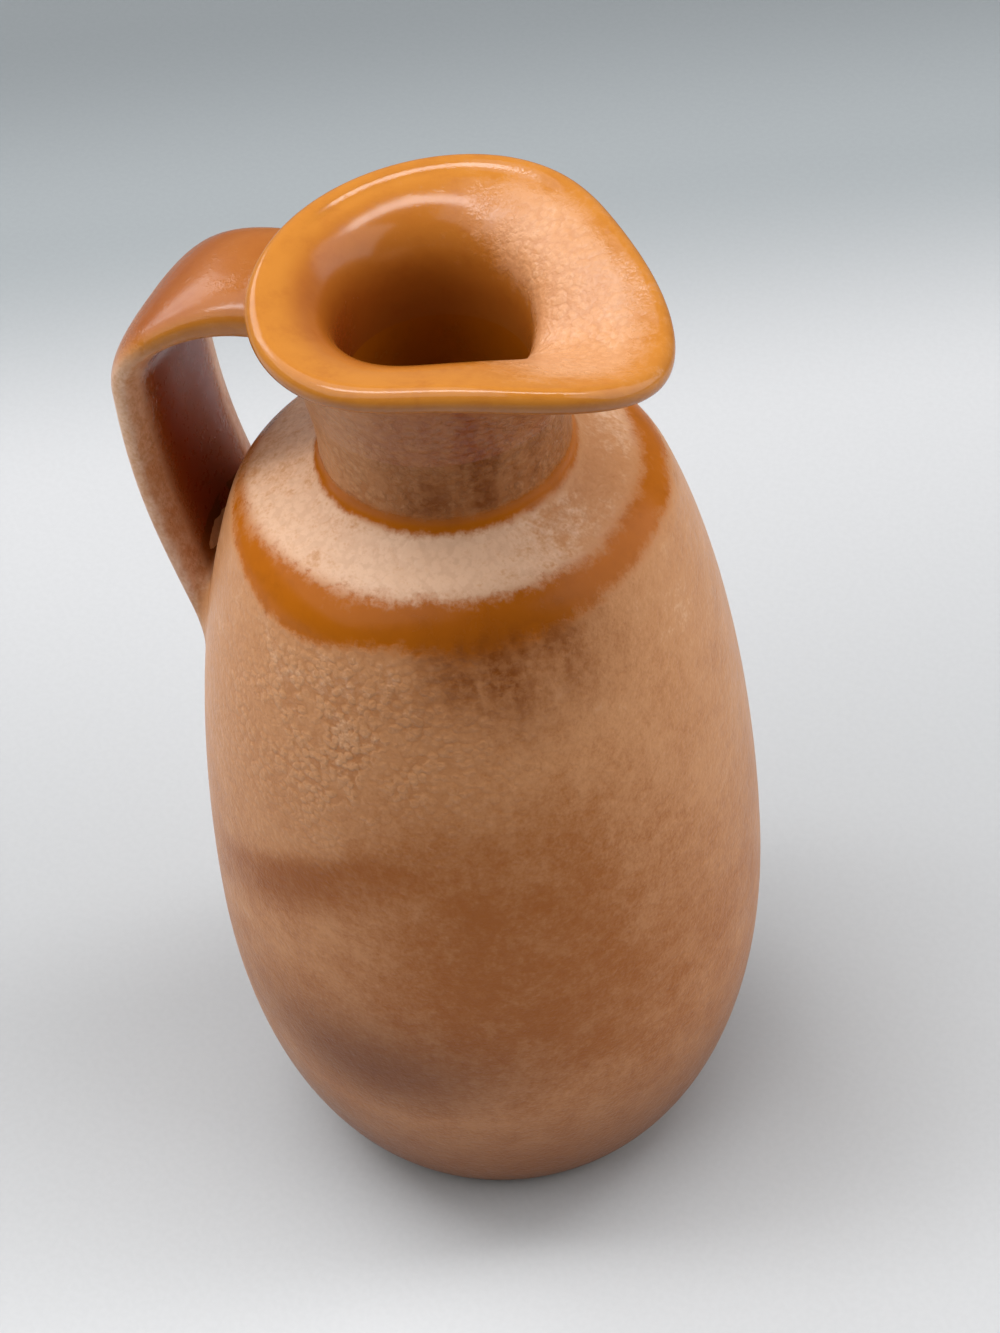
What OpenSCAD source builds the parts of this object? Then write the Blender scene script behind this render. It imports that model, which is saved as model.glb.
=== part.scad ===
// Small stoneware ewer with a tall egg-shaped belly, a ridged shoulder, a short neck,
// a flared lip pulled out into a spout, and a strap handle.
// It is made in sections that are thrown or pulled, luted with slip and fired together.
// +X runs along the spout, -X along the handle and +Z up.
// The origin is the middle of the foot, on the table.

/* [Belly] */
// Radius of the foot
foot_r = 30; // [26:0.5:33]
// Radius of the belly at its widest
belly_r = 43; // [41:0.5:47]
// Height of the widest place
belly_z = 50; // [42:1:58]
// Thickness of the thrown wall
wall_t = 4.5; // [3.5:0.25:5.5]
// Thickness of the floor
floor_t = 6.5; // [5:0.5:9]
// Width of the ring that the ewer stands on
foot_ring_w = 7; // [5:0.5:10]
// Depth of the hollow turned under the foot
foot_hollow_d = 1.5; // [1:0.25:2.5]

/* [Shoulder] */
// Radius of the ridge before it is softened
ridge_r = 31; // [29:0.5:33]
// Height of the ridge before it is softened
ridge_z = 128; // [120:1:131]
// Lean of the wall just under the ridge, in degrees
ridge_lean = 23; // [18:1:28]
// Reach of the softened ridge along the wall and along the shoulder
ridge_round = 4.5; // [3:0.25:5.5]
// Width of shoulder that the belly section keeps past the ridge
ridge_run = 6.5; // [6:0.25:7.5]
// Rise of the shoulder from the ridge to the neck
shoulder_rise = 6; // [4:0.25:7]

/* [Neck] */
// Outer radius of the neck where it leaves the shoulder
neck_r = 18; // [17:0.25:19]
// How much wider the neck is under the lip than at its foot
neck_flare = 1; // [0.25:0.25:2]
// Thickness of the neck's wall at its foot
neck_wall = 4.8; // [4:0.2:6]
// Reach of the soft corner at the neck's foot
neck_fillet = 3; // [2:0.25:4]
// Height of the neck section
neck_h = 10; // [8:0.5:12]

/* [Lip] */
// How far the rim stands out from the neck, at the middle of its bead
lip_flare = 8.1; // [7:0.1:9.5]
// How far the rim's round is set towards the spout
lip_shift = 4.4; // [3:0.1:5]
// Height of the rim over the neck, at the middle of its bead
lip_h = 16; // [14:0.5:18]
// Radius of the rounded bead on the rim
bead_r = 2; // [1.6:0.1:2.3]
// Slope of the lip where it meets the bead, in degrees
lip_rise = 12; // [5:1:18]
// How far the spout is pulled out past the round
spout_reach = 7.8; // [6:0.2:10]
// How far the spout dips below the rim
spout_dip = 5; // [3:0.25:6.5]
// Bearing of the spout's dip, in degrees, less than zero towards the near side
spout_turn = -3; // [-8:1:8]
// Depth of the pinch on the near side of the spout
pinch_near = 6.8; // [5:0.2:7.5]
// Angle of the near pinch from the spout, in degrees
pinch_near_at = 58; // [50:1:64]
// Half width of the near pinch, in degrees
pinch_near_half = 36; // [30:1:42]
// Depth of the pinch on the far side of the spout
pinch_far = 10; // [8:0.2:11]
// Angle of the far pinch from the spout, in degrees
pinch_far_at = 32; // [28:1:40]
// Half width of the far pinch, in degrees
pinch_far_half = 41; // [34:1:46]
// How far the near side of the lip is raised by the pinch
lip_lift = 2; // [0:0.25:3]
// Angle of the raised side from the spout, in degrees
lip_lift_at = 40; // [30:1:60]
// Half width of the raised side, in degrees
lip_lift_half = 52; // [40:1:60]

/* [Handle] */
// Width of the strap
strap_w = 25.5; // [20:0.5:27]
// Thickness of the strap
strap_t = 4.8; // [4:0.2:6]
// Room from the ridge out to the strap's middle line
strap_room = 14; // [12:0.5:20]
// How far below the rim the strap reaches farthest out
strap_reach_drop = 21; // [17:1:28]
// How far below the rim the strap's middle line leaves the lip
strap_root_drop = 9; // [8:0.25:10]
// Rise of the strap's crown over its root
strap_crown = 7; // [4:0.5:8]
// Height where the strap's middle line ends in the belly
strap_heel_z = 84; // [76:1:92]
// Extra width where the strap is pressed on at each end
strap_spread = 2.5; // [1:0.5:4]
// Width of the luting coil round each end of the strap
luting_w = 2.5; // [1.5:0.25:3.5]
// How far the luting climbs off the pot
luting_l = 5; // [3:0.5:7]

/* [Hidden] */
$fn = 96;

// Steps along each curve, round the lip and round the strap
curve_steps = 16;
corner_steps = 8;
lip_sides = 96;
flare_steps = 9;
bead_steps = 6;
strap_steps = 22;
strap_sides = 24;
luting_steps = 10;

// Shares that shape the belly: low handle outwards, low handle upwards, widest handle downwards
belly_low_shares = [0.45, 0.13, 0.55];
// Shares that shape the upper wall: widest handle upwards, ridge handle downwards
belly_high_shares = [0.33, 0.28];
// Shares that bend the flare of the lip: underside root, underside rim, throat, inner rim
flare_shares = [0.5, 0.55, 0.75, 0.75];
// Share of the lip's height where the throat starts to open
throat_share = 0.15;
// Powers that narrow the spout's reach and its dip
spout_power = 6;
dip_power = 40;
// Shares that bend the strap: crown, fall from the crown, fall to the heel, heel's rise and heel's reach
strap_shares = [0.57, 0.85, 0.42, 0.45, 0.6];
// Power that squares the strap's rounded section
strap_power = 2.6;
// Thickness left at the feathered edge of a luting coil
luting_edge = 0.3;
// Angle of the lip's section that the strap and its luting are cut to, at the edge of the luting
seat_at = 128;
// How far each end of the strap runs into the pot before it is cut to the pot's face
strap_sink = 9;

// Directions of the shoulder line and the outward normals of wall and shoulder
neck_z = ridge_z + shoulder_rise;
shoulder_tilt = atan2(shoulder_rise, ridge_r - neck_r);
wall_normal = [cos(ridge_lean), sin(ridge_lean)];
shoulder_normal = [sin(shoulder_tilt), cos(shoulder_tilt)];
shoulder_dir = [-cos(shoulder_tilt), sin(shoulder_tilt)];
ridge = [ridge_r, ridge_z];
neck_corner = [neck_r, neck_z];

// Where one section ends and the next begins
belly_joint = ridge + ridge_run * shoulder_dir;
neck_joint_z = neck_z + neck_fillet;
lip_joint_z = neck_joint_z + neck_h;
throat_r = neck_r - neck_wall;
neck_top_r = neck_r + neck_flare;
lip_r = neck_top_r + lip_flare;
lip_z = lip_joint_z + lip_h;

function cubic(a, b, c, d, t) =
    pow(1 - t, 3) * a + 3 * t * pow(1 - t, 2) * b + 3 * t * t * (1 - t) * c + pow(t, 3) * d;
function cubic_slope(a, b, c, d, t) =
    pow(1 - t, 2) * (b - a) + 2 * t * (1 - t) * (c - b) + t * t * (d - c);
function quadratic(a, b, c, t) = pow(1 - t, 2) * a + 2 * t * (1 - t) * b + t * t * c;

// Wall from a foot point out to the widest place
function low_wall(foot, widest) =
    let (rise = widest[1] - foot[1])
    let (out = foot + [belly_low_shares[0] * (widest[0] - foot[0]), belly_low_shares[1] * rise])
    let (under = widest - [0, belly_low_shares[2] * rise])
    [for (i = [0 : curve_steps]) cubic(foot, out, under, widest, i / curve_steps)];

// Wall from the widest place up to the ridge, then the softened ridge itself
function high_wall(widest, corner, round) =
    let (rise = corner[1] - widest[1])
    let (over = widest + [0, belly_high_shares[0] * rise])
    let (under = corner + belly_high_shares[1] * rise * [sin(ridge_lean), -cos(ridge_lean)])
    let (stop = 1 - round / (3 * belly_high_shares[1] * rise))
    let (low = cubic(widest, over, under, corner, stop))
    concat(
        [for (i = [1 : curve_steps]) cubic(widest, over, under, corner, stop * i / curve_steps)],
        [for (i = [1 : corner_steps]) quadratic(low, corner, corner + round * shoulder_dir, i / corner_steps)]
    );

// Outer and inner faces of the belly section, from the foot up
outer_widest = [belly_r, belly_z];
belly_outer = concat(low_wall([foot_r, 0], outer_widest), high_wall(outer_widest, ridge, ridge_round));
inner_widest = [belly_r - wall_t, belly_z];
inner_ridge = ridge - wall_t / (1 + wall_normal * shoulder_normal) * (wall_normal + shoulder_normal);
inner_round = ridge_round - wall_t * tan((90 - ridge_lean - shoulder_tilt) / 2);
belly_inner = concat(
    low_wall([foot_r - wall_t, floor_t], inner_widest),
    high_wall(inner_widest, inner_ridge, inner_round)
);

// Outer face of the shoulder section, from the belly joint to the neck joint
shoulder_outer = concat(
    [belly_joint],
    [for (i = [0 : corner_steps])
        let (from = neck_corner - neck_fillet * shoulder_dir)
        let (to = neck_corner + [0, neck_fillet])
        quadratic(from, neck_corner, to, i / corner_steps)]
);
// Where the shoulder's inner face meets the throat
inner_neck = [
    throat_r,
    neck_z + (neck_r - throat_r) * tan(shoulder_tilt) - wall_t / cos(shoulder_tilt)
];

// Outer face of the neck section, which opens to the slope that the lip starts with
neck_outer = [for (i = [1 : corner_steps])
    let (u = i / corner_steps)
    [neck_r + neck_flare * u * u, neck_joint_z + neck_h * u]];
lip_start = [2 * neck_flare / neck_h, 1];

// Middle of the rim's bead at an angle from the spout, as radius and height
function near_angle(a, b) = let (d = abs(a - b) % 360) min(d, 360 - d);
function bump(a, at, half) = exp(-pow(near_angle(a, at) / half, 2));
function pinch(a) =
    pinch_far * bump(a, pinch_far_at, pinch_far_half) + pinch_near * bump(a, -pinch_near_at, pinch_near_half);
function rim(a) =
    let (pull = pow(abs(cos(a / 2)), spout_power))
    let (dip = pow(abs(cos((a - spout_turn) / 2)), dip_power))
    [
        lip_r + lip_shift * cos(a) + spout_reach * pull - pinch(a),
        lip_z - spout_dip * dip + lip_lift * bump(a, -lip_lift_at, lip_lift_half)
    ];

// Underside of the lip at an angle, from the neck out to the bead
function lip_under(a) =
    let (foot = [neck_top_r, lip_joint_z])
    let (edge = rim(a) + bead_r * [sin(lip_rise), -cos(lip_rise)])
    let (up = foot + flare_shares[0] * (edge[1] - foot[1]) * lip_start)
    let (in = edge - flare_shares[1] * (edge[0] - foot[0]) * [cos(lip_rise), sin(lip_rise)])
    [for (i = [0 : flare_steps]) cubic(foot, up, in, edge, i / flare_steps)];
// Round of the bead, from its underside over its outside to its top
function lip_bead(a) =
    [for (i = [1 : bead_steps - 1])
        let (turn = lip_rise - 90 + 180 * i / bead_steps)
        rim(a) + bead_r * [cos(turn), sin(turn)]];
// Inside of the lip at an angle, from the bead down into the throat
function lip_inside(a) =
    let (edge = rim(a) + bead_r * [-sin(lip_rise), cos(lip_rise)])
    let (floor_z = lip_joint_z + throat_share * (lip_z - lip_joint_z))
    let (throat = [throat_r, floor_z])
    let (up = throat + [0, flare_shares[2] * (edge[1] - floor_z)])
    let (in = edge - flare_shares[3] * (edge[0] - throat_r) * [cos(lip_rise), sin(lip_rise)])
    concat(
        [for (i = [0 : flare_steps]) cubic(edge, in, up, throat, i / flare_steps)],
        [[throat_r, lip_joint_z]]
    );
function lip_section(a) = concat(lip_under(a), lip_bead(a), lip_inside(a));

// Whole outside of the pot as the handle meets it, from the foot to the rim
seat_under = lip_under(seat_at);
pot_side = concat(
    belly_outer,
    shoulder_outer,
    neck_outer,
    [for (i = [1 : flare_steps]) seat_under[i]],
    [rim(seat_at)]
);
function pot_radius(z) = lookup(z, [for (p = pot_side) [p[1], p[0]]]);

// Middle line of the strap as distance from the axis and height, in two arcs that meet at its reach
strap_reach = ridge_r + strap_room;
strap_root_z = lip_z - strap_root_drop;
strap_reach_z = lip_z - strap_reach_drop;
strap_root = [pot_radius(strap_root_z) - strap_sink, strap_root_z];
strap_out = [strap_reach, strap_reach_z];
strap_heel = [pot_radius(strap_heel_z) - strap_sink, strap_heel_z];
strap_over = [
    strap_root[0] + strap_shares[0] * (strap_reach - strap_root[0]),
    strap_root_z + strap_crown
];
strap_fall = [strap_reach, strap_reach_z + strap_shares[1] * (strap_root_z - strap_reach_z)];
strap_drop = [strap_reach, strap_reach_z - strap_shares[2] * (strap_reach_z - strap_heel_z)];
strap_in = [
    strap_heel[0] + strap_shares[4] * (strap_reach - strap_heel[0]),
    strap_heel_z + strap_shares[3] * (strap_reach_z - strap_heel_z)
];
function strap_line(t) =
    t < 1 ? cubic(strap_root, strap_over, strap_fall, strap_out, t)
    : cubic(strap_out, strap_drop, strap_in, strap_heel, t - 1);
function strap_slope(t) =
    t < 1 ? 3 * cubic_slope(strap_root, strap_over, strap_fall, strap_out, t)
    : 3 * cubic_slope(strap_out, strap_drop, strap_in, strap_heel, t - 1);
function strap_dir(t) = strap_slope(t) / norm(strap_slope(t));
// How far a point stands off the outside of the pot
function stand_off(p) = max(0, norm([p[0], p[1]]) - pot_radius(p[2]));
// The strap widens where it is pressed on
function strap_width(t) = strap_w + strap_spread * pow(abs(t - 1), 4);

function rounded(v) = sign(v) * pow(abs(v), 2 / strap_power);
// Point on the strap at a place along it and a turn round it, grown by a margin
function strap_point(t, turn, margin) =
    let (at = strap_line(t))
    let (dir = strap_dir(t))
    let (lift = rounded(cos(turn)) * (strap_t / 2 + margin))
    [
        -(at[0] - dir[1] * lift),
        rounded(sin(turn)) * (strap_width(t) / 2 + margin),
        at[1] + dir[0] * lift
    ];
function strap_ring(t) = [for (i = [0 : strap_sides - 1]) strap_point(t, 360 * i / strap_sides, 0)];
// Place along the strap, from one end of it, where one side stands off the pot by the luting's climb
function clear_place(end, turn) =
    let (step = (end > 1 ? -1 : 1) / strap_steps)
    let (gaps = [for (j = [0 : strap_steps]) stand_off(strap_point(end + j * step, turn, 0))])
    let (j = min([for (j = [1 : strap_steps]) if (gaps[j] > luting_l) j]))
    end + step * (j - (gaps[j] - luting_l) / (gaps[j] - gaps[j - 1]));
// The luting fills the corner between strap and pot, and feathers out as the strap leaves the pot
function luting_margin(p) =
    let (near = max(0, 1 - stand_off(p) / luting_l))
    luting_edge + (luting_w - luting_edge) * near * near;

// Faces between neighbouring rings of a closed belt of points
function belt_faces(rings, sides, closed) =
    [for (j = [0 : rings - (closed ? 1 : 2)], i = [0 : sides - 1])
        let (k = (i + 1) % sides)
        let (n = (j + 1) % rings)
        each [
            [j * sides + i, n * sides + k, j * sides + k],
            [j * sides + i, n * sides + i, n * sides + k]
        ]];

module lip_loft() {
    sections = [for (j = [0 : lip_sides - 1]) lip_section(360 * j / lip_sides)];
    count = len(sections[0]);
    points = [for (j = [0 : lip_sides - 1], p = sections[j])
        let (a = 360 * j / lip_sides)
        [p[0] * cos(a), p[0] * sin(a), p[1]]];
    polyhedron(points, belt_faces(lip_sides, count, true));
}

module strap_sweep() {
    rings = 2 * strap_steps + 1;
    points = [for (j = [0 : rings - 1]) each strap_ring(j / strap_steps)];
    caps = [
        [for (i = [0 : strap_sides - 1]) i],
        [for (i = [0 : strap_sides - 1]) rings * strap_sides - 1 - i]
    ];
    polyhedron(points, concat(belt_faces(rings, strap_sides, false), caps));
}

// Collar of soft clay round the strap, from one buried end of the strap to where each side feathers out
module luting_collar(end) {
    turns = [for (i = [0 : strap_sides - 1]) 360 * i / strap_sides];
    feathers = [for (turn = turns) clear_place(end, turn)];
    outer = [for (j = [0 : luting_steps], i = [0 : strap_sides - 1])
        let (t = end + (feathers[i] - end) * j / luting_steps)
        strap_point(t, turns[i], luting_margin(strap_point(t, turns[i], 0)))];
    inner = [for (j = [luting_steps : -1 : 0], i = [0 : strap_sides - 1])
        strap_point(end + (feathers[i] - end) * j / luting_steps, turns[i], 0)];
    faces = belt_faces(2 * (luting_steps + 1), strap_sides, true);
    polyhedron(concat(outer, inner), end < 1 ? faces : [for (f = faces) [f[0], f[2], f[1]]]);
}

module pot_solid() {
    rotate_extrude() polygon(concat([[0, 0]], pot_side, [[0, lip_z]]));
}

module belly() {
    color("peru")
    difference() {
        rotate_extrude()
            polygon(concat(
                [[0, 0]],
                belly_outer,
                [belly_joint, belly_joint - wall_t * shoulder_normal],
                [for (i = [len(belly_inner) - 1 : -1 : 0]) belly_inner[i]],
                [[0, floor_t]]
            ));
        cylinder(h = 2 * foot_hollow_d, r = foot_r - foot_ring_w, center = true);
    }
}

module shoulder() {
    color("burlywood")
    rotate_extrude()
        polygon(concat(
            shoulder_outer,
            [[throat_r, neck_joint_z], inner_neck, belly_joint - wall_t * shoulder_normal]
        ));
}

module neck() {
    color("sienna")
    rotate_extrude()
        polygon(concat(
            [[throat_r, neck_joint_z], [neck_r, neck_joint_z]],
            neck_outer,
            [[throat_r, lip_joint_z]]
        ));
}

module pouring_lip() {
    color("chocolate")
    lip_loft();
}

module handle_strap() {
    color("peru")
    difference() {
        strap_sweep();
        pot_solid();
    }
}

module upper_luting() {
    color("sienna")
    difference() {
        luting_collar(0);
        pot_solid();
    }
}

module lower_luting() {
    color("sienna")
    difference() {
        luting_collar(2);
        pot_solid();
    }
}

belly();
shoulder();
neck();
pouring_lip();
handle_strap();
upper_luting();
lower_luting();
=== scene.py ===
# %% [markdown]
# # A small glazed ewer
# The ewer is stoneware: a tall belly, a ridged shoulder, a short neck, a lip pulled into a spout and a
# strap handle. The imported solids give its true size, so they are loaded first and everything else is built
# around them in metres. Taking the overall sizes from the solids keeps the dressed pot and the solid pot
# the same.

# %% Load the solids and take the main sizes
import math

import bmesh
import bpy
import numpy as np
from mathutils import Matrix, Vector


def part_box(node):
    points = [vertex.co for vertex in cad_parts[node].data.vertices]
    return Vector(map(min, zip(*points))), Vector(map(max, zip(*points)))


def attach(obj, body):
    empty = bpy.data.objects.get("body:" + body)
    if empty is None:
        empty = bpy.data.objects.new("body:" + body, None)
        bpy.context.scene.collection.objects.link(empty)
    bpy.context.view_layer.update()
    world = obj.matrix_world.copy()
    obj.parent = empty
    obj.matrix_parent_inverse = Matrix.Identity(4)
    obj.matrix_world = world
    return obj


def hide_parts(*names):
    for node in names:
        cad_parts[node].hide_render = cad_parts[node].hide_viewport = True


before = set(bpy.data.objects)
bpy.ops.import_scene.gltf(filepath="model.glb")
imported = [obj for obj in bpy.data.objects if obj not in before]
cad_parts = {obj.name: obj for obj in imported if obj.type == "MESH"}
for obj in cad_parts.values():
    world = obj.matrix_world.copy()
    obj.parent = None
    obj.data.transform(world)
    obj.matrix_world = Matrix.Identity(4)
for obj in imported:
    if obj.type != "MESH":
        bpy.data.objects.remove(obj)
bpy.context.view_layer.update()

MM = 0.001
_, belly_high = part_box("belly")
neck_low, neck_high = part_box("neck")
lip_low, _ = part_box("pouring_lip")
belly_r = belly_high.y
neck_joint_z = neck_low.z
lip_joint_z = lip_low.z
neck_top_r = neck_high.y
print("belly radius", round(belly_r, 4), "and neck radius at the lip", round(neck_top_r, 4))
print("neck joint at", round(neck_joint_z, 4), "and lip joint at", round(lip_joint_z, 4))

# %% [markdown]
# ## The camera
# The picture was taken from above and a little to the spout's side, with the camera slightly rolled. A
# camera can be turned with Euler angles, but writing its three axes straight into a matrix makes the roll
# plain: the right and up axes are both turned about the line of sight by the same small angle.

# %% Place the camera
VIEW_TURN = math.radians(26.0)
VIEW_DOWN = math.radians(45.25)
VIEW_ROLL = math.radians(5.80)
PHOTO_HEIGHT_PX = 1333
FOCAL_PX = 3400
SENSOR = 36.0
NEAREST_SEEN = 0.02
camera_place = Vector((0.1627, -0.3236, 0.4539))

sight = Vector((
    -math.sin(VIEW_TURN) * math.cos(VIEW_DOWN),
    math.cos(VIEW_TURN) * math.cos(VIEW_DOWN),
    -math.sin(VIEW_DOWN),
))
level_right = Vector((math.cos(VIEW_TURN), math.sin(VIEW_TURN), 0))
level_up = level_right.cross(sight)
right = math.cos(VIEW_ROLL) * level_right - math.sin(VIEW_ROLL) * level_up
up = math.sin(VIEW_ROLL) * level_right + math.cos(VIEW_ROLL) * level_up

camera_data = bpy.data.cameras.new("camera")
camera_data.sensor_width = SENSOR
camera_data.lens = FOCAL_PX * SENSOR / PHOTO_HEIGHT_PX
camera_data.clip_start = NEAREST_SEEN
camera = bpy.data.objects.new("camera", camera_data)
turn = Matrix((right, up, -sight)).transposed().to_4x4()
camera.matrix_world = Matrix.Translation(camera_place) @ turn
scene = bpy.context.scene
scene.collection.objects.link(camera)
scene.camera = camera
scene.view_settings.view_transform = "Standard"
print("camera at", tuple(round(v, 3) for v in camera_place), "lens", round(camera_data.lens, 1), "mm")

# %% [markdown]
# ## Small helpers for nodes
# A shader is a net of nodes. It could be drawn by hand in the node editor, but a script can be read and
# kept. Two short helpers, one that adds a node and one that sets or links a socket, keep each material
# readable: a socket takes either a plain value or another node's output.

# %% Helpers that add nodes and fill their sockets
def colour(red, green, blue):
    """Turns screen values from 0 to 255 into the linear colour that a shader works with."""
    def linear(value):
        share = value / 255
        return share / 12.92 if share <= 0.04045 else ((share + 0.055) / 1.055) ** 2.4
    return (linear(red), linear(green), linear(blue), 1.0)


def fill(tree, socket, value):
    if isinstance(value, bpy.types.NodeSocket):
        tree.links.new(value, socket)
    else:
        socket.default_value = value


def add(tree, kind, sockets=None, **settings):
    node = tree.nodes.new(kind)
    for name, value in settings.items():
        setattr(node, name, value)
    for name, value in (sockets or {}).items():
        fill(tree, node.inputs[name], value)
    return node


print("middle grey is", round(colour(128, 128, 128)[0], 3), "in linear light")

# %% Helpers for noise, ramps, sums and mixing
# The mix node has sockets for values and for colours. These are the places of the two things to mix and of
# the result.
MIXED_VALUES = (2, 3, 0)
MIXED_COLOURS = (6, 7, 2)


def noise(tree, place, scale, detail=3.0, roughness=0.5):
    sockets = {"Vector": place, "Scale": scale, "Detail": detail, "Roughness": roughness}
    return add(tree, "ShaderNodeTexNoise", sockets).outputs["Fac"]


def ramp(tree, value, low, high, bottom=0.0, top=1.0):
    """A soft ramp between two values. It gives bottom at the low one and top at the high one."""
    sockets = {"Value": value, "From Min": low, "From Max": high, "To Min": bottom, "To Max": top}
    return add(tree, "ShaderNodeMapRange", sockets, interpolation_type="SMOOTHSTEP").outputs["Result"]


def calc(tree, operation, first, second=0.0):
    return add(tree, "ShaderNodeMath", {0: first, 1: second}, operation=operation).outputs[0]


def along_line(tree, place, line):
    """How far a place lies along a line."""
    return add(tree, "ShaderNodeVectorMath", {0: place, 1: line}, operation="DOT_PRODUCT").outputs["Value"]


def mix(tree, share, first, second, how="MIX"):
    one, other, result = MIXED_COLOURS
    sockets = {0: share, one: first, other: second}
    return add(tree, "ShaderNodeMix", sockets, data_type="RGBA", blend_type=how).outputs[result]


def between(tree, share, first, second):
    one, other, result = MIXED_VALUES
    sockets = {0: share, one: first, other: second}
    return add(tree, "ShaderNodeMix", sockets, data_type="FLOAT").outputs[result]


print("node helpers ready")

# %% [markdown]
# ## Floor and light
# The pot stands on a sheet of paper. Its colour is pale around the pot, darker in front and grey further off:
# that is painted shade, where less light falls. A curved backdrop could be modelled, but a single plane with
# a soft gradient in its colour does it without a visible corner.
# The light comes from a wide ceiling on the left, a long narrow lamp straight above and two windows. The
# front of the room stays dim, so the satin glaze keeps a deep middle and pale edges, and the long lamp
# draws thin lines of light on the glossy rim.

# %% Lay the floor
FLOOR_REACH = 3.0
PAPER_GRAIN_SCALE = 900.0
PAPER_GRAIN_SPAN = (0.3, 0.7, 0.975, 1.0)
PAPER_ROUGHNESS = 0.8
PAPER_SPECULAR = 0.2
# How far behind the pot's middle the paper has each tone. The tones are painted shade: darker in front and
# grey further back.
PAPER_SHADE_STOPS = (
    (-0.30, colour(184, 186, 188)),
    (-0.10, colour(213, 215, 217)),
    (0.04, colour(190, 192, 194)),
    (0.150, colour(200, 201, 203)),
    (0.235, colour(156, 161, 164)),
    (0.310, colour(132, 137, 140)),
    (0.60, colour(120, 124, 127)),
)

away = Vector((-math.sin(VIEW_TURN), math.cos(VIEW_TURN), 0))
floor_material = bpy.data.materials.new("seamless_paper")
floor_material.use_nodes = True
tree = floor_material.node_tree
paper = tree.nodes["Principled BSDF"]
on_floor = add(tree, "ShaderNodeTexCoord").outputs["Object"]
behind_pot = along_line(tree, on_floor, away)
paper_shade_tone = PAPER_SHADE_STOPS[0][1]
for (near, _), (far, tone) in zip(PAPER_SHADE_STOPS, PAPER_SHADE_STOPS[1:]):
    paper_shade_tone = mix(tree, ramp(tree, behind_pot, near, far), paper_shade_tone, tone)
paper_grain = ramp(tree, noise(tree, on_floor, PAPER_GRAIN_SCALE), *PAPER_GRAIN_SPAN)
fill(tree, paper.inputs["Base Color"], mix(tree, 1.0, paper_shade_tone, paper_grain, "MULTIPLY"))
paper.inputs["Roughness"].default_value = PAPER_ROUGHNESS
paper.inputs["Specular IOR Level"].default_value = PAPER_SPECULAR

floor_mesh = bpy.data.meshes.new("floor")
corners = [(-1, -1), (1, -1), (1, 1), (-1, 1)]
floor_mesh.from_pydata([(x * FLOOR_REACH, y * FLOOR_REACH, 0) for x, y in corners], [], [(0, 1, 2, 3)])
floor = bpy.data.objects.new("floor", floor_mesh)
floor.data.materials.append(floor_material)
scene.collection.objects.link(floor)
print("floor reaches", FLOOR_REACH, "m each way, with", len(PAPER_SHADE_STOPS), "tones")

# %% Hang the lights
POT_MIDDLE = Vector((0, 0, 0.09))
# Each light has its place as the camera sees it, then its width, height and power.
LIGHTS = {
    "left_ceiling": ((-0.62, 0.02, 0.98), 1.6, 1.3, 9.5),
    "ceiling_lamp": ((0.0, 0.06, 1.12), 1.4, 0.20, 8.0),
    "back_window": ((-0.78, 0.98, 0.74), 0.8, 0.6, 4.0),
    "right_window": ((1.05, -0.10, 0.70), 1.4, 1.3, 8.6),
}


def from_view(across, back, height):
    """A place given as the camera sees it: to the side, away from the camera, and up."""
    return across * level_right + back * away + Vector((0, 0, height))


def softbox(name, place, width, height, power):
    """A rectangle of light that faces the middle of the pot."""
    data = bpy.data.lights.new(name, "AREA")
    data.shape = "RECTANGLE"
    data.size = width
    data.size_y = height
    data.energy = power
    lamp = bpy.data.objects.new(name, data)
    lamp.location = place
    lamp.rotation_euler = (POT_MIDDLE - place).to_track_quat("-Z", "Y").to_euler()
    scene.collection.objects.link(lamp)


for name, (seen_at, width, height, power) in LIGHTS.items():
    softbox(name, from_view(*seen_at), width, height, power)
    print(name, "is", width, "m by", height, "m and has", power, "W")

# %% Light the room
ROOM_FRONT = colour(88, 88, 87)
ROOM_BACK = colour(142, 145, 147)
ROOM_SPAN = (-0.6, 0.5)
ROOM_STRENGTH = 0.8

world = bpy.data.worlds.new("studio")
world.use_nodes = True
room_tree = world.node_tree
room = room_tree.nodes["Background"]
looking = add(room_tree, "ShaderNodeTexCoord").outputs["Generated"]
room_back = ramp(room_tree, along_line(room_tree, looking, away), *ROOM_SPAN)
fill(room_tree, room.inputs["Color"], mix(room_tree, room_back, ROOM_FRONT, ROOM_BACK))
room.inputs["Strength"].default_value = ROOM_STRENGTH
scene.world = world
print("room lit with strength", ROOM_STRENGTH)

# %% [markdown]
# ## The outline of the pot
# A thrown pot is one smooth outline spun about its axis. The outline could be a long list of measured
# points, but a few cubic curves say the same with less: one from the foot to the widest place, one from
# there to the ridge, a soft turn over the ridge, a straight shoulder and a small hollow corner at the neck.
# Each function below returns radius and height pairs, so the same outline can serve several pieces.

# %% Curves that an outline is made of
def steps(count):
    return np.linspace(0, 1, count)


def cubic(a, b, c, d, t):
    a, b, c, d = (np.asarray(p, float) for p in (a, b, c, d))
    t = np.asarray(t)[..., None]
    return (1 - t) ** 3 * a + 3 * t * (1 - t) ** 2 * b + 3 * t ** 2 * (1 - t) * c + t ** 3 * d


def corner_curve(a, b, c, t):
    a, b, c = (np.asarray(p, float) for p in (a, b, c))
    t = np.asarray(t)[..., None]
    return (1 - t) ** 2 * a + 2 * t * (1 - t) * b + t ** 2 * c


print("halfway round a unit corner:", corner_curve((0, 0), (1, 0), (1, 1), 0.5))

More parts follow.
